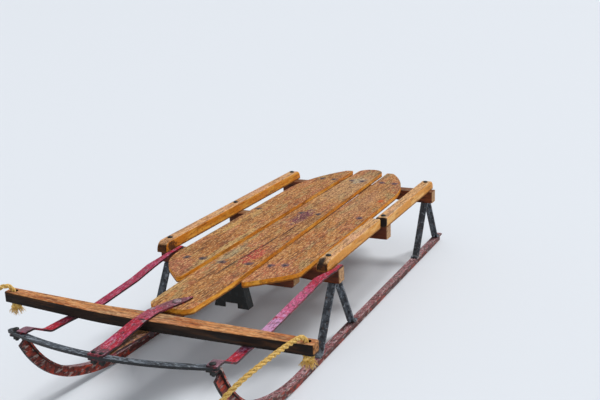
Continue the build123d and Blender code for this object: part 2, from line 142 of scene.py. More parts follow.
@dataclass(frozen=True)
class Tone:
    """Other colours on the faces that look one way."""

    facing: Facing
    base: str
    layers: tuple[Layer, ...] = ()


@dataclass(frozen=True)
class StainOrShade:
    """Ragged ellipse of another colour at one place, used for real stains and cracks and for patches of
    painted shade: x, station and z of its middle, and its half sizes.
    """

    colour: str
    middle: Point
    half: Point
    strength: float = 0.8
    ragged: float = 0.8
    rag_mm: float = 7.0


@dataclass
class Coat:
    """Colour, roughness and height in millimetres of a finish while its layers go on.

    Its masks are made from its object coordinates and object normal.
    """

    tree: Tree
    place: Socket
    normal: Socket
    colour: Socket | Colour
    rough: Socket | float
    height: Socket | float = 0.0


def linear(hex_colour: str) -> Colour:
    """Turn an sRGB hex colour into a linear one.

    Args:
        hex_colour: Colour such as "#a37650".

    Returns:
        Red, green, blue and alpha, in linear light.
    """
    parts = [int(hex_colour[i : i + 2], 16) / 255 for i in (1, 3, 5)]
    red, green, blue = (p / 12.92 if p <= 0.04045 else ((p + 0.055) / 1.055) ** 2.4 for p in parts)
    return (red, green, blue, 1.0)


def add_node(
    tree: Tree, kind: str, inputs: dict[str | int, object] | None = None, **settings: object,
) -> bpy.types.Node:
    """Add a node with its settings, values and links.

    Args:
        tree: Node tree that gets the node.
        kind: Blender's name of the node type.
        inputs: Value or output socket for each input, by its name or number.
        settings: Properties of the node itself.

    Returns:
        The new node.
    """
    node = tree.nodes.new(kind)
    for key, value in settings.items():
        setattr(node, key, value)
    for key, value in (inputs or {}).items():
        socket = node.inputs[key]
        if isinstance(value, Socket):
            tree.links.new(value, socket)
        else:
            socket.default_value = value
    return node


@dataclass(frozen=True)
class Finish:
    """Base of all finishes.

    A ground colour gets its layers, then the stains that have soaked in, then the specks. The tones
    of the other faces go over these, and marks go over all.
    """

    name: str
    axis: GrainAxis
    base: str
    layers: tuple[Layer, ...]
    stains: tuple[StainOrShade, ...] = ()
    specks: tuple[Layer, ...] = ()
    tones: tuple[Tone, ...] = ()
    marks: tuple[StainOrShade, ...] = ()
    rough: float = 0.75
    specular: float = 0.5
    metal: float = 0.0

    def build(self) -> bpy.types.Material:
        """Make the material.

        Returns:
            The finished material.
        """
        material = bpy.data.materials.new(self.name)
        material.use_nodes = True
        tree = material.node_tree
        tree.nodes.clear()
        coords = add_node(tree, "ShaderNodeTexCoord")
        coat = Coat(tree, coords.outputs["Object"], coords.outputs["Normal"], linear(self.base), self.rough)
        self.cover(coat, self.layers)
        self.lay_stains_and_shade(coat, self.stains)
        self.cover(coat, self.specks)
        for tone in self.tones:
            mask = self.faces(coat, tone.facing)
            other = replace(coat, colour=linear(tone.base))
            self.cover(other, tone.layers)
            self.lay(coat, mask, other.colour)
        self.lay_stains_and_shade(coat, self.marks)
        bump = add_node(tree, "ShaderNodeBump", {"Height": coat.height, "Strength": 1.0, "Distance": MM})
        inputs = {
            "Base Color": coat.colour, "Roughness": coat.rough, "Normal": bump.outputs["Normal"],
            "Metallic": self.metal, "Specular IOR Level": self.specular,
        }
        shader = add_node(tree, "ShaderNodeBsdfPrincipled", inputs)
        add_node(tree, "ShaderNodeOutputMaterial", {"Surface": shader.outputs["BSDF"]})
        return material

    def cover(self, coat: Coat, layers: tuple[Layer, ...]) -> None:
        """Lay several layers over the coat, in order."""
        for layer in layers:
            self.lay(coat, self.cloud(coat, layer), linear(layer.colour), layer.relief, layer.gloss)

    def lay_stains_and_shade(self, coat: Coat, stains: tuple[StainOrShade, ...]) -> None:
        """Lay several stains and patches of painted shade over the coat, in order."""
        for stain_or_shade in stains:
            self.lay(coat, self.stain_or_shade_mask(coat, stain_or_shade), linear(stain_or_shade.colour))

    def lay(
        self, coat: Coat, mask: Socket, colour: Socket | Colour, relief: float = 0.0, gloss: float = 0.0,
    ) -> None:
        """Lay a colour, with its relief and gloss, over the coat where the mask is 1.

        Args:
            coat: Coat that gets the colour.
            mask: How far the new colour covers, from 0 to 1.
            colour: The new colour.
            relief: Height that it adds, in millimetres.
            gloss: What it takes off the roughness.
        """
        inputs = {MIX_FACTOR: mask, MIX_UNDER: coat.colour, MIX_OVER: colour}
        coat.colour = add_node(coat.tree, "ShaderNodeMix", inputs, data_type="RGBA").outputs[MIX_RESULT]
        if relief:
            inputs = {0: mask, 1: relief, 2: coat.height}
            coat.height = add_node(coat.tree, "ShaderNodeMath", inputs, operation="MULTIPLY_ADD").outputs[0]
        if gloss:
            inputs = {0: mask, 1: -gloss, 2: coat.rough}
            coat.rough = add_node(coat.tree, "ShaderNodeMath", inputs, operation="MULTIPLY_ADD").outputs[0]

    def cloud(self, coat: Coat, layer: Layer) -> Socket:
        """Mask of a layer: noise that is drawn out along the grain and cut off smoothly.

        Args:
            coat: Coat that the layer goes on.
            layer: The layer.

        Returns:
            The mask, from 0 to the layer's strength.
        """
        tree = coat.tree
        scale = [1.0, 1.0, 1.0]
        scale[self.axis.value] = 1 / layer.drawn_out
        shift = [layer.seed * part for part in SEED_WAY]
        drawn = add_node(tree, "ShaderNodeMapping", {"Vector": coat.place, "Scale": scale, "Location": shift})
        lumps = {
            "Vector": drawn.outputs["Vector"], "Scale": 1 / (layer.size_mm * MM), "Detail": layer.detail,
            "Roughness": NOISE_ROUGHNESS,
        }
        noise = add_node(tree, "ShaderNodeTexNoise", lumps)
        cut = {
            "Value": noise.outputs["Fac"], "From Min": layer.start, "From Max": layer.full,
            "To Max": layer.strength,
        }
        return add_node(tree, "ShaderNodeMapRange", cut, interpolation_type="SMOOTHSTEP").outputs["Result"]

    def faces(self, coat: Coat, facing: Facing) -> Socket:
        """Mask of the faces that look one way.

        Args:
            coat: Coat that has the faces.
            facing: Which way the faces look.

        Returns:
            The mask, from 0 to 1.
        """
        tree = coat.tree
        part, signed, start, full = facing.value
        value = add_node(tree, "ShaderNodeSeparateXYZ", {0: coat.normal}).outputs[part]
        if not signed:
            value = add_node(tree, "ShaderNodeMath", {0: value}, operation="ABSOLUTE").outputs[0]
        cut = {"Value": value, "From Min": start, "From Max": full}
        return add_node(tree, "ShaderNodeMapRange", cut, interpolation_type="SMOOTHSTEP").outputs["Result"]

    def stain_or_shade_mask(self, coat: Coat, stain_or_shade: StainOrShade) -> Socket:
        """Mask of a coloured patch, real stains and painted shade alike: distance from its middle in half
        sizes, made ragged by noise.

        Args:
            coat: Coat that the patch lies on.
            stain_or_shade: The patch.

        Returns:
            The mask, from 0 to the patch's strength.
        """
        tree, place = coat.tree, coat.place
        scale = [0.0 if math.isinf(half) else 1 / (half * MM) for half in stain_or_shade.half]
        middle = (stain_or_shade.middle[0], stain_or_shade.middle[1] + ROW_SHIFT, stain_or_shade.middle[2])
        shift = [-at * MM * times for at, times in zip(middle, scale)]
        off = add_node(tree, "ShaderNodeMapping", {"Vector": place, "Scale": scale, "Location": shift})
        away = add_node(tree, "ShaderNodeVectorMath", {0: off.outputs["Vector"]}, operation="LENGTH")
        rag = add_node(tree, "ShaderNodeTexNoise", {"Vector": place, "Scale": 1 / (stain_or_shade.rag_mm * MM)})
        edge = {0: rag.outputs["Fac"], 1: 2 * stain_or_shade.ragged, 2: away.outputs["Value"]}
        torn = add_node(tree, "ShaderNodeMath", edge, operation="MULTIPLY_ADD")
        cut = {
            "Value": torn.outputs[0], "From Min": PATCH_GONE + stain_or_shade.ragged,
            "From Max": PATCH_WHOLE + stain_or_shade.ragged, "To Max": stain_or_shade.strength,
        }
        return add_node(tree, "ShaderNodeMapRange", cut, interpolation_type="SMOOTHSTEP").outputs["Result"]


@dataclass(frozen=True)
class WeatheredBoard(Finish):
    """Sawn hardwood that once had a clear orange varnish, worn, greyed and cracked by the weather.

    The eye gets long dark grain lines, a pepper of open pores, blotches where the varnish still
    glows, and the fresher varnish on the sides, which the weather has spared; the sides, undersides
    and lower edges also carry painted light and shade.
    """

    rough: float = 0.78
    specular: float = 0.3


@dataclass(frozen=True)
class WornEnamel(Finish):
    """Rolled steel with brushed enamel, rubbed, faded and chipped down to rusty steel.

    The eye gets strong colour where the enamel is whole, chalky tints where it has faded,
    and brown or grey spots at the chips.
    """

    rough: float = 0.5
    specular: float = 0.4


@dataclass(frozen=True)
class TwistedPlastic(Finish):
    """Yellow polypropylene monofilament, laid in three strands, faded and dusty.

    The eye gets fine pale and dark fibres and a dull sheen on the strands' backs.
    """

    rough: float = 0.6
    specular: float = 0.4


def board_wear(varnish: str, blush: str, grey: str, dark: str, varnished: float = 0.0) -> tuple[Layer, ...]:
    """Layers that weathered wood has on its face.

    Args:
        varnish: Colour where the varnish is left.
        blush: Colour of the bare, rubbed wood.
        grey: Colour of the greyed wood.
        dark: Colour of the grain lines.
        varnished: Shift of the varnish's edge; more varnish is left where it is above 0.

    Returns:
        The layers, from the ground up.
    """
    return (
        Layer(varnish, 34, 5, 0.5 - varnished, 0.6 - varnished, 0.85, 3.1, 5, gloss=0.22),
        Layer(blush, 24, 4, 0.51, 0.6, 0.7, 4.4, 5),
        Layer(grey, 20, 4, 0.53, 0.62, 0.7, 7.7, 6),
        Layer(dark, 7, 30, 0.52, 0.7, 0.6, 0.0, 5, relief=-0.35),
    )


def pores(dark: str, light: str, size_mm: float = 2.3, strength: float = 0.75) -> tuple[Layer, ...]:
    """Specks over everything: raised pale fibres, thin dark grain lines and open dark pores.

    Args:
        dark: Colour of the pores and lines.
        light: Colour of the fibres.
        size_mm: Size of a pore. Real ones are finer and wouldn't show, so they are drawn coarser.
        strength: How far the specks cover.

    Returns:
        The layers, from the lowest up.
    """
    return (
        Layer(light, size_mm, 4, 0.51, 0.6, strength * 0.7, 9.3, 2, relief=0.1),
        Layer(dark, size_mm * 1.2, 20, 0.5, 0.64, strength, 2.2, 4, relief=-0.2),
        Layer(dark, size_mm, 4, 0.51, 0.6, strength * 0.85, 1.9, 2, relief=-0.3),
    )


def varnished_and_lit_side(base: str, highlight_colour: str, dark: str) -> Tone:
    """Tone of a board's sides, where the varnish has stayed, painted brighter than the top as painted light,
    with streaks of painted highlight and of dark orange.

    Args:
        base: Colour of the varnish, painted brighter as painted light.
        highlight_colour: Colour of the streaks of painted highlight.
        dark: Colour where it has darkened.

    Returns:
        The tone.
    """
    layers = (
        # Streaks of painted highlight
        Layer(highlight_colour, 16, 6, 0.48, 0.6, 0.8, 5.5, 4),
        Layer(dark, 9, 8, 0.53, 0.66, 0.65, 8.1, 4),
        Layer(dark, 2.4, 4, 0.55, 0.66, 0.45, 1.1, 2),
    )
    return Tone(Facing.UPRIGHT, base, layers)


def shaded_lower_edge(colour: str, z: float) -> StainOrShade:
    """Painted shade: a dark band along the lower edge of a board that lies at z."""
    return StainOrShade(colour, (0, 0, z), (EVERYWHERE, EVERYWHERE, 3.6), 0.85, 0.5, 9)


def halos(slat: str, colour: str) -> tuple[StainOrShade, ...]:
    """Rust and damp round each nail of a slat."""
    return tuple(StainOrShade(colour, (x, y + 2, DECK_TOP), (9, 12, 4), 0.8, 0.7) for x, y in NAILS[slat])


# Maple slats: the top has lost most of its varnish; the sides are painted brighter as painted light, the
# underside and lower edge darker as painted shade
DECK_BOARD = WeatheredBoard(
    "weathered_maple_slat", GrainAxis.ALONG, "#b6783e",
    board_wear("#a85a1a", "#b66c46", "#a68d5a", "#4b260e"),
    specks=pores("#48220a", "#f0c286", strength=0.72),
    tones=(varnished_and_lit_side("#e28a1a", "#f8b042", "#8a4a0e"), Tone(Facing.UNDER, "#8a5a2c")),
    marks=(shaded_lower_edge("#6a3c0e", BENCH_TOP),),
)
# Dark crack along the centre slat: four thin stains in a row
CRACK = tuple(
    StainOrShade("#3c2018", (3 + 4.6 * i, 262 + 84 * i, DECK_TOP), (2.4, 52, 4), 0.9, 0.6, 5) for i in range(4)
)
CENTRE_SLAT = replace(
    DECK_BOARD, name="weathered_maple_slat_centre",
    stains=(
        StainOrShade("#b43a34", (20, 345, DECK_TOP), (18, 70, 4), 0.95, 1.0, 8),
        StainOrShade("#b5763e", (24, 420, DECK_TOP), (12, 70, 4), 0.6),
        StainOrShade("#6a2a44", (1, 620, DECK_TOP), (18, 72, 4), 0.95, 1.0, 8),
        StainOrShade("#a89a74", (-28, 330, DECK_TOP), (11, 80, 4), 0.75, 0.9, 9),
        StainOrShade("#c8a266", (-36, 110, DECK_TOP), (9, 90, 4), 0.85, 0.6, 9),
        StainOrShade("#bf9668", (0, 890, DECK_TOP), (60, 150, 4), 0.6, 0.9, 12),
        StainOrShade("#b0a68e", (4, 968, DECK_TOP), (19, 34, 4), 0.75, 1.0, 9),
        StainOrShade("#8f5c30", (34, 150, DECK_TOP), (18, 60, 4), 0.6),
    ),
    marks=(*CRACK, *halos("centre", "#5d4448"), *DECK_BOARD.marks),
)
RIGHT_SLAT = replace(
    DECK_BOARD, name="weathered_maple_slat_right",
    stains=(
        StainOrShade("#a8644a", (-92, 235, DECK_TOP), (34, 52, 4), 0.75, 0.8, 9),
        StainOrShade("#96561e", (-95, 380, DECK_TOP), (30, 90, 4), 0.65, 0.9, 9),
        StainOrShade("#c8a868", (-60, 400, DECK_TOP), (9, 150, 4), 0.7, 0.9, 9),
        StainOrShade("#c8994f", (-120, 560, DECK_TOP), (12, 140, 4), 0.6, 0.8, 9),
    ),
    marks=(*halos("right", "#4d3c42"), *DECK_BOARD.marks),
)
LEFT_SLAT = replace(
    DECK_BOARD, name="weathered_maple_slat_left",
    stains=(
        StainOrShade("#b86e4c", (95, 270, DECK_TOP), (34, 70, 4), 0.7, 0.9, 9),
        StainOrShade("#bb8a5c", (95, 760, DECK_TOP), (30, 150, 4), 0.5, 0.9, 9),
    ),
    marks=(
        StainOrShade("#bc4f14", (126, 795, DECK_TOP), (7, 16, 4), 0.8),
        *halos("left", "#5a4050"), *DECK_BOARD.marks,
    ),
)
# Maple rails: paler and better kept, with dark end grain painted near black as painted shade; the sides are
# painted brighter as painted light, the underside darker as painted shade
RAIL_BOARD = WeatheredBoard(
    "varnished_maple_rail", GrainAxis.ALONG, "#d69e6c",
    board_wear("#d08c44", "#dca482", "#c2a47c", "#5a3418", -0.02),
    specks=pores("#5e3210", "#f0c890", strength=0.65),
    tones=(
        varnished_and_lit_side("#de861a", "#f6ae40", "#8a480c"), Tone(Facing.UNDER, "#9a6428"),
        Tone(Facing.TO_THE_ENDS, "#5e3410", (Layer("#241206", 7, 1, 0.42, 0.58, 0.9),)),
    ),
    # Painted shade along the lower edge, and a painted shadow at the right rail's front end
    marks=(shaded_lower_edge("#6a3c0e", BENCH_TOP), StainOrShade("#241308", (-178, 342, 176), (16, 20, 12), 0.85, 0.9, 7)),
)
# The left rail has lost most of its varnish; it is split at its front bolt and beside the middle bench. Like
# the right rail it has painted light on its sides and painted shade below and on its end grain
PALE_RAIL = replace(
    RAIL_BOARD, name="worn_maple_rail", base="#d6a068",
    tones=(varnished_and_lit_side("#dc9644", "#f0bc74", "#97602a"), *RAIL_BOARD.tones[1:]),
    marks=(
        # Painted shade along the lower edge
        shaded_lower_edge("#7c4a18", BENCH_TOP),
        # The crack at the front end, darkened near black with painted shade
        StainOrShade("#1c110a", (172, 321, RAIL_TOP), (9, 26, 12), 0.95, 0.4),
        # Painted shade in the gap of the split beside the middle bench
        StainOrShade("#1a120c", (192, 632, 179), (14, 5, 14), 0.95, 0.4),
    ),
)
# Oak benches: dark red-brown varnish, pale end grain; the front and back faces are painted darker as painted
# shade, and the underside too
BENCH_BOARD = WeatheredBoard(
    "dark_varnished_oak_bench", GrainAxis.ACROSS, "#84502a",
    board_wear("#6d3a18", "#8f5e3a", "#8f7050", "#2c1408", 0.08),
    specks=pores("#2c1408", "#b5855a", 3.0, 0.6),
    tones=(
        Tone(Facing.UPRIGHT, "#5a270e", (
            Layer("#7c3c16", 14, 5, 0.5, 0.62, 0.8, 5.5, 4), Layer("#2a1007", 8, 7, 0.5, 0.64, 0.7, 8.1, 4),
        )),
        Tone(Facing.UNDER, "#3c1a0a"),
        Tone(Facing.TO_THE_SIDES, "#b5885c", (
            Layer("#74502c", 6, 1, 0.5, 0.62, 0.7), Layer("#d6b286", 4, 1, 0.55, 0.66, 0.6, 2.0),
        )),
    ),
)
# Ash steering bar: speckled orange top and pale ends; the front and back faces are painted near black as
# painted shade, and the underside and lower edge too
BAR_BOARD = WeatheredBoard(
    "varnished_ash_steering_bar", GrainAxis.ACROSS, "#cc8850",
    board_wear("#a9581f", "#c0815a", "#a6865e", "#522a12", 0.03),
    specks=pores("#48200a", "#ecbe88", 3.0, 0.6),
    tones=(
        Tone(Facing.UPRIGHT, "#231308", (
            Layer("#472a12", 12, 8, 0.5, 0.64, 0.7, 5.5, 4), Layer("#0e0703", 7, 9, 0.48, 0.6, 0.85, 8.1, 4),
        )),
        Tone(Facing.UNDER, "#1e1108"),
        Tone(Facing.TO_THE_SIDES, "#ae7440", (Layer("#563012", 6, 1, 0.48, 0.6, 0.8),)),
    ),
    # Painted shade along the lower edge
    marks=(shaded_lower_edge("#0e0703", BAR_BOTTOM),),
)


def rust_specks(dark: str, light: str, strength: float = 0.7) -> tuple[Layer, ...]:
    """Fine pale scratches and dark rust spots that old enamel has all over.

    Args:
        dark: Colour of the rust spots.
        light: Colour of the scratches.
        strength: How far the specks cover.

    Returns:
        The layers, from the lowest up.
    """
    return (
        Layer(light, 2.6, 3, 0.56, 0.63, strength * 0.75, 8.8, 2, relief=-0.03),
        Layer(dark, 2.8, 3, 0.52, 0.6, strength, 3.7, 2, relief=-0.1),
    )


def enamel_wear(
    faded: str, light: str, chipped: str, bare: str, fade: float = 0.0, chips: float = 0.0,
) -> tuple[Layer, ...]:
    """Layers that old enamel has.

    Args:
        faded: Colour of the chalky paint.
        light: Colour of rubbed specks.
        chipped: Colour of the rust round a chip.
        bare: Colour of the steel in a chip.
        fade: Shift of the fading's edge; more is faded where it is above 0.
        chips: Shift of the chips' edge; more is chipped where it is above 0.

    Returns:
        The layers, from the ground up.
    """
    return (
        Layer(faded, 15, 3, 0.5 - fade, 0.62 - fade, 0.85, 0.0, 5, gloss=-0.2),
        Layer(light, 4, 3, 0.55 - fade / 2, 0.64 - fade / 2, 0.75, 5.1, 3, relief=-0.05),
        Layer(chipped, 5, 3, 0.56 - chips, 0.62 - chips, 0.8, 2.3, 4, relief=-0.15),
        Layer(bare, 9, 2, 0.62 - chips, 0.66 - chips, 0.9, 6.6, 5, relief=-0.2),
    )


STRAP_TOP = DECK_TOP + STRAP_THICK
# Crimson enamel on the flat straps: mauve where sun and feet have rubbed it
RED_ENAMEL = WornEnamel(
    "worn_crimson_enamel_on_steel", GrainAxis.ALONG, "#ae0a32",
    enamel_wear("#ac305a", "#d08ca4", "#561526", "#8a7a82", -0.02),
    specks=rust_specks("#3a0e1a", "#dd9cb0", 0.6),
    # Dark upright edges, and an underside painted dark as painted shade
    tones=(Tone(Facing.UPRIGHT, "#2c0c12", (Layer("#7c1428", 8, 3),)), Tone(Facing.UNDER, "#2c1410")),
)
# Goose neck: rosy round the steering bolt, brown at the nose bolt, grey where rubbed, dark at the bumper
NECK_ENAMEL = replace(
    RED_ENAMEL, name="worn_crimson_enamel_on_goose_neck", base="#aa0a2a",
    stains=(
        StainOrShade("#70484f", (10, 60, STRAP_TOP), (40, 44, 6), 0.85, 0.9, 6),
        StainOrShade("#a0465a", (-3, 4, STRAP_TOP), (40, 24, 8), 0.8, 0.9, 6),
        StainOrShade("#8b8085", (-12, 24, STRAP_TOP), (8, 8, 6), 0.8, 0.8, 5),
        StainOrShade("#8f8a8c", (9, -29, STRAP_TOP), (7, 7, 8), 0.85, 0.8, 5),
        StainOrShade("#4c3b40", (0, -142, BUMPER_TOP), (40, 20, 8), 0.85, 0.9, 6),
    ),
    marks=(
        # Painted shadow along the bend in front of the bar
        StainOrShade("#2a1418", (0, -24, STRAP_TOP), (8, 4, 8), 0.9, 0.5, 5),
        StainOrShade("#241519", (12, 67, STRAP_TOP), (10, 13, 4), 0.85, 0.6, 4),
    ),
)
# The lower strap has lost its red to tan rust
LOWER_NECK = replace(
    RED_ENAMEL, name="rusty_enamel_on_lower_strap", base="#9a6840",
    layers=enamel_wear("#ac7c4e", "#c8a47a", "#5c3218", "#8b7a70", 0.04, 0.04),
)
# Near strip: crimson, then pink, then lavender towards the front; the far one is wine red
STRIP_ENAMEL = replace(
    RED_ENAMEL, name="worn_crimson_enamel_on_side_strip",
    stains=(
        StainOrShade("#a80834", (RUNNER_X, 300, 165), (90, 90, 30), 0.6, 1.0, 8),
        StainOrShade("#cc6490", (RUNNER_X, 165, 165), (90, 80, 30), 0.65, 1.0, 8),
        StainOrShade("#cb9cc6", (RUNNER_X, 46, 165), (90, 84, 30), 0.8, 1.1, 8),
        StainOrShade("#96244c", (-RUNNER_X, 170, 165), (90, 150, 30), 0.5, 1.0, 8),
        StainOrShade("#aa0418", (0, -52, 165), (EVERYWHERE, 30, 40), 0.8, 0.8, 8),
        StainOrShade("#705c66", (0, -108, 175), (EVERYWHERE, 28, 12), 0.85, 1.0, 6),
    ),
)
# Spring steel runners: rust-red paint on the web's sides and a pink worn tread; the forward-facing and under
# faces, the curls' outer face among them, are painted near black as painted shade
RUNNER_STEEL = WornEnamel(
    "worn_red_enamel_on_rusty_runner", GrainAxis.ALONG, "#8f5357",
    enamel_wear("#a9787c", "#cdb9bc", "#3c1a18", "#6e6460", 0.02, 0.03),
    specks=rust_specks("#2a1512", "#d8c4c2", 0.6),
    tones=(
        Tone(Facing.TO_THE_SIDES, "#5d211a", (
            Layer("#a83c26", 12, 3, 0.5, 0.6, 0.8), Layer("#b3a49c", 7, 3, 0.56, 0.64, 0.7, 4.0),
            Layer("#241210", 6, 2, 0.52, 0.6, 0.8, 7.0),
        )),
        Tone(Facing.UNDER, "#100d0c"),
        Tone(Facing.FORWARD, "#100d0c", (Layer("#3d1f18", 9, 2, 0.54, 0.62, 0.6, 2.0),)),
    ),
)
# The curled fronts have kept more of their red, and keep the runners' near-black painted shade on their
# forward and under faces
RUNNER_FRONT = replace(
    RUNNER_STEEL, name="worn_red_enamel_on_curled_front",
    tones=(
        Tone(Facing.TO_THE_SIDES, "#7a2a1c", (
            Layer("#bc3c1e", 14, 3, 0.48, 0.6, 0.85), Layer("#b9aaa2", 7, 3, 0.54, 0.63, 0.75, 4.0),
            Layer("#241210", 6, 2, 0.52, 0.6, 0.8, 7.0),
        )),
        *RUNNER_STEEL.tones[1:],
    ),
)
# Black enamelled bumper: the top is painted grey, partly scuffs and partly a painted highlight, against its
# near-black sides and underside
BLACK_STEEL = WornEnamel(
    "worn_black_enamel_on_steel", GrainAxis.ACROSS, "#3e454e",
    (
        Layer("#848c95", 7, 5, 0.52, 0.64, 0.8), Layer("#181a1f", 6, 3, 0.48, 0.6, 0.9, 3.0),
        Layer("#9aa2aa", 3, 3, 0.58, 0.66, 0.7, 6.0),
    ),
    specks=rust_specks("#0f1013", "#aab2ba", 0.65),
    tones=(
        Tone(Facing.UPRIGHT, "#111215", (Layer("#2a2d31", 7, 3, 0.55, 0.65, 0.7),)),
        Tone(Facing.UNDER, "#111215"),
    ),
    rough=0.42,
)
# Pressed steel knees: dull dark steel with a bloom of zinc and rust
KNEE_STEEL = WornEnamel(
    "dull_pressed_steel_knee", GrainAxis.ALONG, "#3c4046",
    (
        Layer("#646b73", 16, 1, 0.48, 0.6, 0.85, 0.0, 5), Layer("#8f979f", 7, 1, 0.55, 0.63, 0.7, 3.0, 4),
        Layer("#1b1c1f", 8, 1, 0.54, 0.62, 0.8, 6.0, 4, relief=-0.1),
        Layer("#5b3d2c", 10, 1, 0.6, 0.66, 0.7, 9.0, 4),
    ),
    rough=0.55,
)
# Nearly black iron of the bracket and most fasteners, with a little rust
BLACK_IRON = replace(
    KNEE_STEEL, name="black_pressed_iron", base="#101311",
    layers=(Layer("#23282a", 9, 1, 0.52, 0.62, 0.8), Layer("#46301f", 7, 1, 0.6, 0.66, 0.7, 4.0)),
)
# Nails: grey steel with brown rust and a dull metal sheen
BOLT_STEEL = WornEnamel(
    "rusted_bolt_steel", GrainAxis.ALONG, "#353236",
    (Layer("#6a676a", 3, 1, 0.5, 0.6, 0.8), Layer("#3a2418", 4, 1, 0.52, 0.6, 0.8, 3.0, relief=-0.1)),
    metal=0.5,
)
# The bolt heads were painted with the neck: the steering bolt is rosy, the nose bolt rubbed grey
NECK_BOLT = replace(
    NECK_ENAMEL, name="painted_bolt_head", marks=(),
    stains=(
        StainOrShade("#a0465a", (0, 0, 185), (20, 20, 20), 0.85, 0.8, 4),
        StainOrShade("#8f878a", (12, 67, 185), (20, 20, 20), 0.85, 0.8, 4),
    ),
)
# The rope is straw yellow, with pale and brown fibres
ROPE_PLASTIC = TwistedPlastic(
    "faded_yellow_polypropylene_rope", GrainAxis.ALONG, "#e2b65a",
    (
        Layer("#efd292", 2.4, 1, 0.5, 0.62, 0.8, 0.0, 3, relief=0.1),
        Layer("#8d6424", 2.2, 1, 0.54, 0.64, 0.75, 4.0, 3, relief=-0.2),
    ),
)

NODE_FINISHES: dict[Finish, tuple[str, ...]] = {
    CENTRE_SLAT: ("deck_slat_centre",),
    LEFT_SLAT: ("deck_slat_left",),
    RIGHT_SLAT: ("deck_slat_right",),
    RAIL_BOARD: ("side_rail_right",),
    PALE_RAIL: ("side_rail_left", "side_rail_left_front"),
    BENCH_BOARD: ("bench_front", "bench_middle", "bench_rear", "front_crosspiece"),
    BAR_BOARD: ("steering_bar",),
    STRIP_ENAMEL: ("side_strip_left", "side_strip_right"),
    NECK_ENAMEL: ("goose_neck_upper",),
    LOWER_NECK: ("goose_neck_lower",),
    RUNNER_STEEL: ("runner_left", "runner_right"),
    RUNNER_FRONT: ("runner_front_left", "runner_front_right"),
    BLACK_STEEL: ("bumper",),
    KNEE_STEEL: ("knee_front_left", "knee_front_right", "knee_rear_left", "knee_rear_right"),
    BLACK_IRON: ("centre_bracket",),
    NECK_BOLT: ("pivot_bolt", "nose_bolt"),
}


def row_place(x: np.ndarray, station: np.ndarray, z: np.ndarray) -> np.ndarray:
    """Points in metres in the row frame, from places in the part's millimetres and stations."""
    return np.stack(np.broadcast_arrays(x, np.asarray(station) + ROW_SHIFT, z), axis=-1) * MM


def grid_mesh(name: str, points: np.ndarray, closed: bool = True, smooth: bool = True) -> bpy.types.Object:
    """Make one mesh from copies of a grid of points.

    Point (i, j) of a copy joins its neighbours (i + 1, j) and (i, j + 1), and where the
    columns are closed the last one joins the first.

    Args:
        name: Name of the new object.
        points: Array of copies, rows, columns and 3, in metres.
        closed: Whether the columns go round.
        smooth: Whether the faces are shaded smooth.

    Returns:
        The new object, linked to the scene, with doubles merged and normals outwards.
    """
    copies, rows, columns, _ = points.shape
    index = np.arange(copies * rows * columns).reshape(copies, rows, columns)
    after = np.roll(index, -1, axis=2) if closed else index[:, :, 1:]
    index = index if closed else index[:, :, :-1]
    quads = np.stack([index[:, :-1], after[:, :-1], after[:, 1:], index[:, 1:]], axis=-1).reshape(-1, 4)
    mesh = bpy.data.meshes.new(name)
    mesh.from_pydata(points.reshape(-1, 3), [], quads.tolist())
    shape = bmesh.new()
    shape.from_mesh(mesh)
    bmesh.ops.remove_doubles(shape, verts=shape.verts, dist=MERGE_DISTANCE)
    bmesh.ops.recalc_face_normals(shape, faces=shape.faces)
    shape.to_mesh(mesh)
    shape.free()
    mesh.polygons.foreach_set("use_smooth", np.full(len(mesh.polygons), smooth))
    piece = bpy.data.objects.new(name, mesh)
    bpy.context.scene.collection.objects.link(piece)
    return piece


def turned(profile: np.ndarray, sides: int, places: list[Point]) -> np.ndarray:
    """Grid points of upright turned shapes: each (radius, height) of the profile goes round the axis.

    Args:
        profile: Rows of radius and height, in millimetres.
        sides: How many sides the shape has.
        places: The x, station and z of each shape's foot.

    Returns:
        Array of shapes, rows, sides and 3, in metres.
    """
    angle = np.linspace(0, 2 * math.pi, sides, endpoint=False)
    radius, height = profile[:, 0][:, None], profile[:, 1][:, None]
    x, station, z = np.array(places).T[:, :, None, None]
    return row_place(x + radius * np.cos(angle), station + radius * np.sin(angle), z + height + 0 * angle)


@dataclass
class Dresser:
    """Keeps the loaded nodes and one material for each finish."""

    nodes: dict[str, bpy.types.Object]
    made: dict[Finish, bpy.types.Material] = field(default_factory=dict)

    def material(self, finish: Finish) -> bpy.types.Material:
        """Material of a finish, made the first time it is asked for.

        Args:
            finish: The finish.

        Returns:
            Its material.
        """
        if finish not in self.made:
            self.made[finish] = finish.build()
        return self.made[finish]

    def dress_nodes(self) -> None:
        """Give every shown CAD node its finish."""
        for finish, names in NODE_FINISHES.items():
            for name in names:
                for slot in self.nodes[name].material_slots:
                    slot.material = self.material(finish)
            LOG.info("%s on %s", finish.name, ", ".join(names))

    def dress(self, piece: bpy.types.Object, finish: Finish, body: Body) -> bpy.types.Object:
        """Give a new piece its finish, slot and body.

        Args:
            piece: The new piece.
            finish: Finish that it gets.
            body: CAD body that it rides on.

        Returns:
            The same piece.
        """
        piece.data.materials.append(self.material(finish))
        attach(piece, body.value)
        LOG.info("%s: %d vertices", piece.name, len(piece.data.vertices))
        return piece


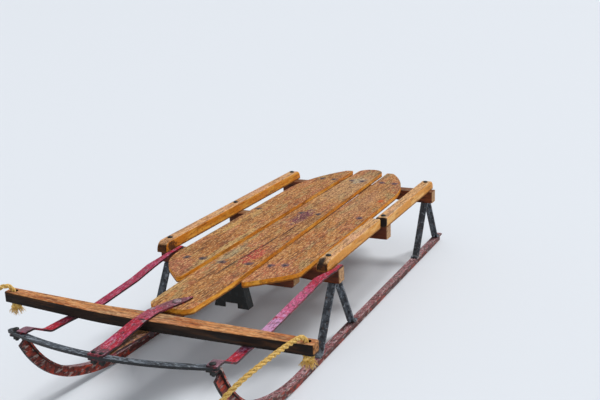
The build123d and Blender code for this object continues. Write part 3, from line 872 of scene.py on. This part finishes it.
@dataclass
class RopeEnd:
    """One end of the rope: a stopper knot under the bar, and the frayed fibres that hang out of it.

    Its side is 1 for the left end and -1 for the right one, and stop is the height of the bar's
    lower face there.
    """

    side: int
    hole_x: float
    stop: float
    knot_size: float = 2.3
    knot_height: float = 1.1
    knot_drop: float = 7.0
    knot_steps: int = 72
    knot_sides: int = 12
    thick: float = 3.9
    ripple: float = 0.08
    fibres: int = 120
    fibre_rows: int = 7
    fibre_sides: int = 4
    fibre_thick: float = 0.65
    fibre_start: float = 4.0
    fibre_spread: tuple[float, float] = (3.0, 12.0)
    fibre_drop: tuple[float, float] = (7.0, 15.0)
    fibre_curl: float = 3.0
    fray_drop: float = 9.0
    seed: int = 11

    def knot(self) -> np.ndarray:
        """Grid of a pulled-tight knot.

        It is a tube along the curve (sin t + 2 sin 2t, cos t - 2 cos 2t, -h sin 3t), with the
        knot's height h, and three ripples round the tube stand for the strands.

        Returns:
            Grid of one copy, in metres.
        """
        t = np.linspace(0, 2 * math.pi, self.knot_steps, endpoint=False)
        across, along = np.sin(t) + 2 * np.sin(2 * t), np.cos(t) - 2 * np.cos(2 * t)
        curve = np.stack([across, along, -self.knot_height * np.sin(3 * t)], axis=-1)
        ahead = np.roll(curve, -1, axis=0) - np.roll(curve, 1, axis=0)
        ahead /= np.linalg.norm(ahead, axis=1)[:, None]
        across = np.cross(ahead, [0, 0, 1])
        across /= np.linalg.norm(across, axis=1)[:, None]
        over = np.cross(across, ahead)
        angle = np.linspace(0, 2 * math.pi, self.knot_sides, endpoint=False)
        thick = self.thick * (1 + self.ripple * np.cos(3 * angle))
        flat = np.cos(angle)[:, None, None] * across + np.sin(angle)[:, None, None] * over
        tube = (curve * self.knot_size + flat * thick[:, None, None]).transpose(1, 0, 2)
        tube = np.concatenate([tube, tube[:1]])
        z = self.stop - self.knot_drop + tube[..., 2]
        return row_place(self.side * self.hole_x + tube[..., 0], tube[..., 1], z)[None]

    def fray(self) -> np.ndarray:
        """Grids of the frayed fibres, which leave the knot's side, spread out and droop.

        With s from 0 to 1 along a fibre, it spreads out by s^1.3, waves by sin 3s, droops by s and
        thins to half.

        Returns:
            Grid of one copy a fibre, in metres.
        """
        random = np.random.default_rng(self.seed + self.side)
        way = random.uniform(0, 2 * math.pi, self.fibres)[:, None, None]
        spread = random.uniform(*self.fibre_spread, self.fibres)
        drop = random.uniform(*self.fibre_drop, self.fibres)
        curl = random.uniform(-self.fibre_curl, self.fibre_curl, (self.fibres, 2, 1))
        s = np.linspace(0, 1, self.fibre_rows)
        wave = (curl * np.sin(3 * s))[..., None]
        out = (self.fibre_start + spread[:, None] * s**1.3)[..., None]
        angle = np.linspace(0, 2 * math.pi, self.fibre_sides, endpoint=False)
        thick = self.fibre_thick * (1 - 0.5 * s)[None, :, None]
        x = out * np.cos(way) + wave[:, 0] + thick * np.cos(angle)
        y = out * np.sin(way) + wave[:, 1] + thick * np.sin(angle)
        z = self.stop - self.fray_drop - (drop[:, None] * s)[..., None] + 0 * angle
        return row_place(self.side * self.hole_x + x, y, z)


@dataclass
class PullRope:
    """The pull rope: from a knot under the bar's left end, round to a coil on the floor and back up.

    The bar's right end has warped upwards, so its knot sits higher by the right lift.
    """

    diameter: float = 9.0
    lay_length: float = 30.0
    step: float = 2.0
    sides: int = 24
    length: float = 1.98
    hole_x: float = 290.0
    knot_top: float = 159.4
    right_lift: float = 8.34
    floor_run: float = 4.8
    coil_centre: tuple[float, float] = (10.0, -205.0)
    coil_radius: float = 45.0
    coil_turns: int = 3
    points_a_turn: int = 16
    inwards_from: float = 0.56
    upwards_from: float = 1.6
    shift_turns: float = 0.34
    groove_share: float = 0.87
    spline_order: int = 3
    spline_steps: int = 12
    steady: Point = (0.8, -0.3, 0.52)

    def left_route(self) -> list[Point]:
        """Route points from the left knot to the coil, as in the part.

        Returns:
            The x, station and z of each point.
        """
        low = self.floor_run
        return [
            (self.hole_x, 0.0, self.knot_top), (self.hole_x, 0.0, 192.0), (279.0, -47.0, 191.0),
            (266.0, -96.0, 184.0), (246.0, -139.0, 168.0), (222.0, -166.0, 140.0), (206.0, -181.0, 98.0),
            (196.0, -193.0, 52.0), (168.0, -213.0, 10.0), (122.0, -240.0, low), (74.0, -253.0, low),
            (22.0, -254.5, low),
        ]

    def right_route(self) -> list[Point]:
        """Route points from the coil to the right knot, as in the part.

        Returns:
            The x, station and z of each point.
        """
        low = self.floor_run
        return [
            (-2.0, -250.0, 12.6), (-50.0, -247.0, 8.0), (-106.0, -236.0, low), (-168.0, -236.0, low),
            (-232.0, -216.0, low), (-290.0, -172.0, 12.0), (-322.0, -124.0, 54.0), (-333.0, -88.0, 104.0),
            (-332.0, -58.0, 154.0), (-316.0, -30.0, 194.0), (-self.hole_x, 0.0, 194.0 + self.right_lift),
            (-self.hole_x, 0.0, self.knot_top + self.right_lift),
        ]

    def coil_points(self) -> np.ndarray:
        """Control points of the coil: two turns side by side on the floor and a third in the groove on top.

        The spline passes inside its control points, so with an angle p between them they stand at
        the turn's radius / (3/4 + 1/4 cos p) from the coil's centre. The rope moves inwards and then
        upwards, each within the shift turns.

        Returns:
            Rows of x, station and z.
        """
        turn = np.arange(self.coil_turns * self.points_a_turn) / self.points_a_turn
        half = self.diameter / 2
        inwards = np.clip((turn - self.inwards_from) / self.shift_turns, 0, 1)
        upwards = np.clip((turn - self.upwards_from) / self.shift_turns, 0, 1)
        radius = self.coil_radius + half - 2 * half * inwards + half * upwards
        z = self.floor_run + self.groove_share * self.diameter * upwards
        angle = -math.pi / 2 - 2 * math.pi * turn
        outer = radius / (0.75 + 0.25 * math.cos(2 * math.pi / self.points_a_turn))
        x, y = self.coil_centre
        return np.stack([x + outer * np.cos(angle), y + outer * np.sin(angle), z], axis=-1)

    def line(self) -> np.ndarray:
        """Evenly spaced points along the rope's smooth spline.

        Returns:
            Rows of x, y and z in metres, in the row frame.
        """
        points = np.concatenate([self.left_route(), self.coil_points()[1:], self.right_route()])
        points = row_place(points[:, 0], points[:, 1], points[:, 2])
        curve = bpy.data.curves.new("rope_line", "CURVE")
        curve.dimensions = "3D"
        spline = curve.splines.new("NURBS")
        spline.points.add(len(points) - 1)
        spline.points.foreach_set("co", np.concatenate([points, np.ones((len(points), 1))], axis=1).ravel())
        spline.order_u = self.spline_order
        spline.use_endpoint_u = True
        spline.resolution_u = self.spline_steps
        holder = bpy.data.objects.new("rope_line", curve)
        mesh = bpy.data.meshes.new_from_object(holder)
        route = np.empty(len(mesh.vertices) * 3)
        mesh.vertices.foreach_get("co", route)
        route = route.reshape(-1, 3)
        bpy.data.meshes.remove(mesh)
        bpy.data.objects.remove(holder)
        bpy.data.curves.remove(curve)
        run = np.concatenate([[0], np.cumsum(np.linalg.norm(np.diff(route, axis=0), axis=1))])
        even = np.linspace(0, run[-1], int(run[-1] / (self.step * MM)) + 1)
        return np.stack([np.interp(even, run, route[:, k]) for k in range(3)], axis=-1)

    def strands(self, route: np.ndarray) -> np.ndarray:
        """Grid of the laid rope's surface.

        The section is the outline of three touching round strands: at an angle a from a strand's
        middle the radius is d cos a + sqrt(s^2 - d^2 sin^2 a), with the strands' radius s and their
        distance d from the rope's middle. Touching strands have s = r / (1 + 2 / sqrt 3) in a rope of
        radius r. The section turns once in each lay length, counted from a side that stays steady.

        Args:
            route: Evenly spaced points along the rope's middle, in metres.

        Returns:
            Grid of one copy, with both ends closed to a point.
        """
        ahead = np.gradient(route, axis=0)
        ahead /= np.linalg.norm(ahead, axis=1)[:, None]
        steady = np.array(self.steady)
        side = steady - ahead * (ahead @ steady)[:, None]
        side /= np.linalg.norm(side, axis=1)[:, None]
        other = np.cross(ahead, side)
        rope = self.diameter / 2
        strand = rope / (1 + 2 / math.sqrt(3))
        off = rope - strand
        angle = np.linspace(0, 2 * math.pi, self.sides, endpoint=False)
        third = 2 * math.pi / 3
        away = np.mod(angle + third / 2, third) - third / 2
        radius = off * np.cos(away) + np.sqrt(np.maximum(strand**2 - (off * np.sin(away)) ** 2, 0))
        turn = 2 * math.pi * np.arange(len(route)) * self.step / self.lay_length
        around = angle[None, :] + turn[:, None]
        flat = np.cos(around)[..., None] * side[:, None] + np.sin(around)[..., None] * other[:, None]
        skin = route[:, None] + flat * (radius * MM)[None, :, None]
        ends = [np.repeat(route[k][None, None], self.sides, axis=1) for k in (0, -1)]
        return np.concatenate([ends[0], skin, ends[1]])[None]

    def build(self, dresser: Dresser) -> None:
        """Args:
            dresser: Gives the pieces their finish.
        """
        route = self.line()
        rope = grid_mesh("pull_rope", self.strands(route))
        dresser.dress(rope, ROPE_PLASTIC, Body.STEERING)
        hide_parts("rope_left", "rope_right", "rope_coil")
        ends = {
            "left": RopeEnd(1, self.hole_x, self.knot_top),
            "right": RopeEnd(-1, self.hole_x, self.knot_top + self.right_lift),
        }
        pieces = []
        for name, end in ends.items():
            knot = grid_mesh(f"knot_{name}", end.knot())
            fray = grid_mesh(f"frayed_end_{name}", end.fray())
            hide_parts(f"rope_knot_{name}")
            pieces += [dresser.dress(piece, ROPE_PLASTIC, Body.STEERING) for piece in (knot, fray)]


@dataclass(frozen=True)
class Head:
    """Domed head of a nail, bolt or rivet, in millimetres."""

    radius: float
    height: float
    sides: int
    rings: int = 6
    edge_share: float = 0.35
    sunk: float = 0.5

    def profile(self) -> np.ndarray:
        """Profile of the head: radius r cos a and height h sin a, over a short straight edge.

        Returns:
            Rows of radius and height, in millimetres.
        """
        a = np.linspace(0, math.pi / 2, self.rings)
        rise = self.edge_share + (1 - self.edge_share) * np.sin(a)
        cap = np.stack([self.radius * np.cos(a), self.height * rise], axis=-1)
        return np.concatenate([[[0, -self.sunk], [self.radius, -self.sunk]], cap])


@dataclass(frozen=True)
class HangingNut:
    """Nut that hangs under its face, with the bolt's end in it, in millimetres."""

    radius: float = 6.0
    height: float = 5.0
    sides: int = 6
    bolt_share: float = 0.55
    tip_share: float = 0.5
    bolt_end: float = 3.0
    sunk: float = 0.3

    def profile(self) -> np.ndarray:
        """Profile of the nut and the bolt's end: straight walls with a step between the two.

        Returns:
            Rows of radius and height, in millimetres.
        """
        r, low, tip = self.radius, -self.height, -self.height - self.bolt_end
        return np.array([
            [0, self.sunk], [r, self.sunk], [r, low], [self.bolt_share * r, low],
            [self.tip_share * r, tip], [0, tip],
        ])


@dataclass
class Fasteners:
    """Nails in the deck, domed bolts on the rails, and rivets and nuts on the steel."""

    nail: Head = Head(3.6, 0.9, 14)
    rail_bolt: Head = Head(5.5, 3.4, 20)
    strip_bolt: Head = Head(5.5, 2.8, 20)
    tip_nail: Head = Head(2.6, 1.2, 14)
    rivet: Head = Head(3.6, 2.1, 16)
    nut: HangingNut = HangingNut()
    rail_bolts: tuple[tuple[float, float], ...] = (
        (-186, 356), (-186, 645), (-186, 961), (176, 356), (186, 645), (186, 961),
    )
    strip_bolts: tuple[Point, ...] = ((-186, -116.5, 175.0), (188, -116.5, 175.0))
    strip_tips: tuple[Point, ...] = ((-153, 351, 171.5), (165, 351, 171.5))
    neck_rivets: tuple[Point, ...] = ((-7, -145.5, 175.0), (8, -145.5, 175.0))
    foot_reach: float = 93.0
    foot_top: float = 23.0

    def build(self, dresser: Dresser) -> None:
        """Make and dress every fastener.

        Args:
            dresser: Gives the pieces their finish.
        """
        nails = [(x, y, DECK_TOP) for places in NAILS.values() for x, y in places]
        bolts = [(x, y, RAIL_TOP) for x, y in self.rail_bolts]
        feet = [
            (side * RUNNER_X, station + way * self.foot_reach, self.foot_top)
            for side in (-1, 1) for station in KNEE_STATIONS for way in (-1, 1)
        ]
        nuts = [(x, y, BUMPER_BOTTOM - STRAP_THICK) for x, y, _ in (*self.strip_bolts, *self.neck_rivets)]
        groups = (
            ("deck_nails", self.nail, nails, BOLT_STEEL, "bolt_steel"),
            ("rail_bolts", self.rail_bolt, bolts, BLACK_IRON, "dark_steel"),
            ("strip_bolts", self.strip_bolt, [*self.strip_bolts], BLACK_IRON, "dark_steel"),
            ("strip_tip_nails", self.tip_nail, [*self.strip_tips], BOLT_STEEL, "bolt_steel"),
            ("neck_rivets", self.rivet, [*self.neck_rivets], BLACK_IRON, "dark_steel"),
            ("foot_rivets", self.rivet, feet, KNEE_STEEL, "dark_steel"),
            ("bumper_nuts", self.nut, nuts, BLACK_IRON, "dark_steel"),
        )
        for name, form, places, finish, slot in groups:
            points = turned(form.profile(), form.sides, places)
            piece = grid_mesh(name, points, smooth=form.sides > self.nut.sides)
            dresser.dress(piece, finish, Body.SLED)


@dataclass(frozen=True)
class Lamp:
    """Soft sun lamp, which shines from the side that the way points to."""

    name: str
    strength: float
    softness: float
    way: Point

    def build(self) -> None:
        """Add the lamp to the scene."""
        data = bpy.data.lights.new(self.name, "SUN")
        data.energy = self.strength
        data.angle = math.radians(self.softness)
        lamp = bpy.data.objects.new(self.name, data)
        lamp.matrix_world = Vector(self.way).to_track_quat("Z", "Y").to_matrix().to_4x4()
        bpy.context.scene.collection.objects.link(lamp)


@dataclass
class Studio:
    """Pale floor, soft light and the camera at the photograph's angle.

    Angles are in degrees and the camera's place in millimetres, as x, station and z.
    """

    azimuth: float = 25.12
    elevation: float = 15.32
    roll: float = -2.03
    focal_px: float = 900.83
    width_px: float = 600.0
    place: Point = (832.88, -1166.81, 757.9)
    sensor_mm: float = 36.0
    sight: float = 100.0
    floor_half: float = 20.0
    floor_colour: str = "#dfe3e8"
    floor_rough: float = 0.9
    world_colour: str = "#e6ebf2"
    world_strength: float = 0.45
    lamps: tuple[Lamp, ...] = (
        Lamp("key_lamp", 2.4, 20, (0.35, 0.62, 0.9)), Lamp("fill_lamp", 0.5, 60, (0.3, -0.8, 0.7)),
    )

    def camera(self) -> None:
        """Create the camera and make it the scene's."""
        azimuth, elevation, roll = (math.radians(a) for a in (self.azimuth, self.elevation, self.roll))
        level = math.cos(elevation)
        back = Vector((math.sin(azimuth) * level, -math.cos(azimuth) * level, math.sin(elevation)))
        right = Vector((0, 0, 1)).cross(back).normalized()
        up = back.cross(right)
        turned_right = math.cos(roll) * right + math.sin(roll) * up
        turned_up = -math.sin(roll) * right + math.cos(roll) * up
        data = bpy.data.cameras.new("photo_camera")
        data.sensor_width = self.sensor_mm
        data.lens = self.focal_px / self.width_px * data.sensor_width
        data.clip_end = self.sight
        camera = bpy.data.objects.new("photo_camera", data)
        matrix = Matrix((turned_right, turned_up, back)).transposed().to_4x4()
        matrix.translation = row_place(*self.place)
        camera.matrix_world = matrix
        bpy.context.scene.collection.objects.link(camera)
        bpy.context.scene.camera = camera

    def floor(self) -> None:
        """Lay the pale floor."""
        corners = self.floor_half * np.array([[(-1.0, -1, 0), (1, -1, 0)], [(-1, 1, 0), (1, 1, 0)]])
        floor = grid_mesh("studio_floor", corners[None], closed=False, smooth=False)
        material = bpy.data.materials.new("pale_studio_paint")
        material.use_nodes = True
        shader = material.node_tree.nodes["Principled BSDF"]
        shader.inputs["Base Color"].default_value = linear(self.floor_colour)
        shader.inputs["Roughness"].default_value = self.floor_rough
        floor.data.materials.append(material)

    def world(self) -> None:
        """Set the pale world light."""
        world = bpy.data.worlds.new("studio_world")
        world.use_nodes = True
        light = world.node_tree.nodes["Background"]
        light.inputs["Color"].default_value = linear(self.world_colour)
        light.inputs["Strength"].default_value = self.world_strength
        bpy.context.scene.world = world

    def build(self) -> None:
        """Set up camera, floor, world and lamps."""
        self.camera()
        self.floor()
        self.world()
        for lamp in self.lamps:
            lamp.build()
        bpy.context.scene.view_settings.view_transform = "Standard"


def main() -> None:
    """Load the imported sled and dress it."""
    logging.basicConfig(level=logging.INFO, format="%(message)s")
    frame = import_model()
    Studio().build()
    dresser = Dresser(frame["nodes"])
    PullRope().build(dresser)
    dresser.dress_nodes()
    Fasteners().build(dresser)


if __name__ == "__main__":
    main()
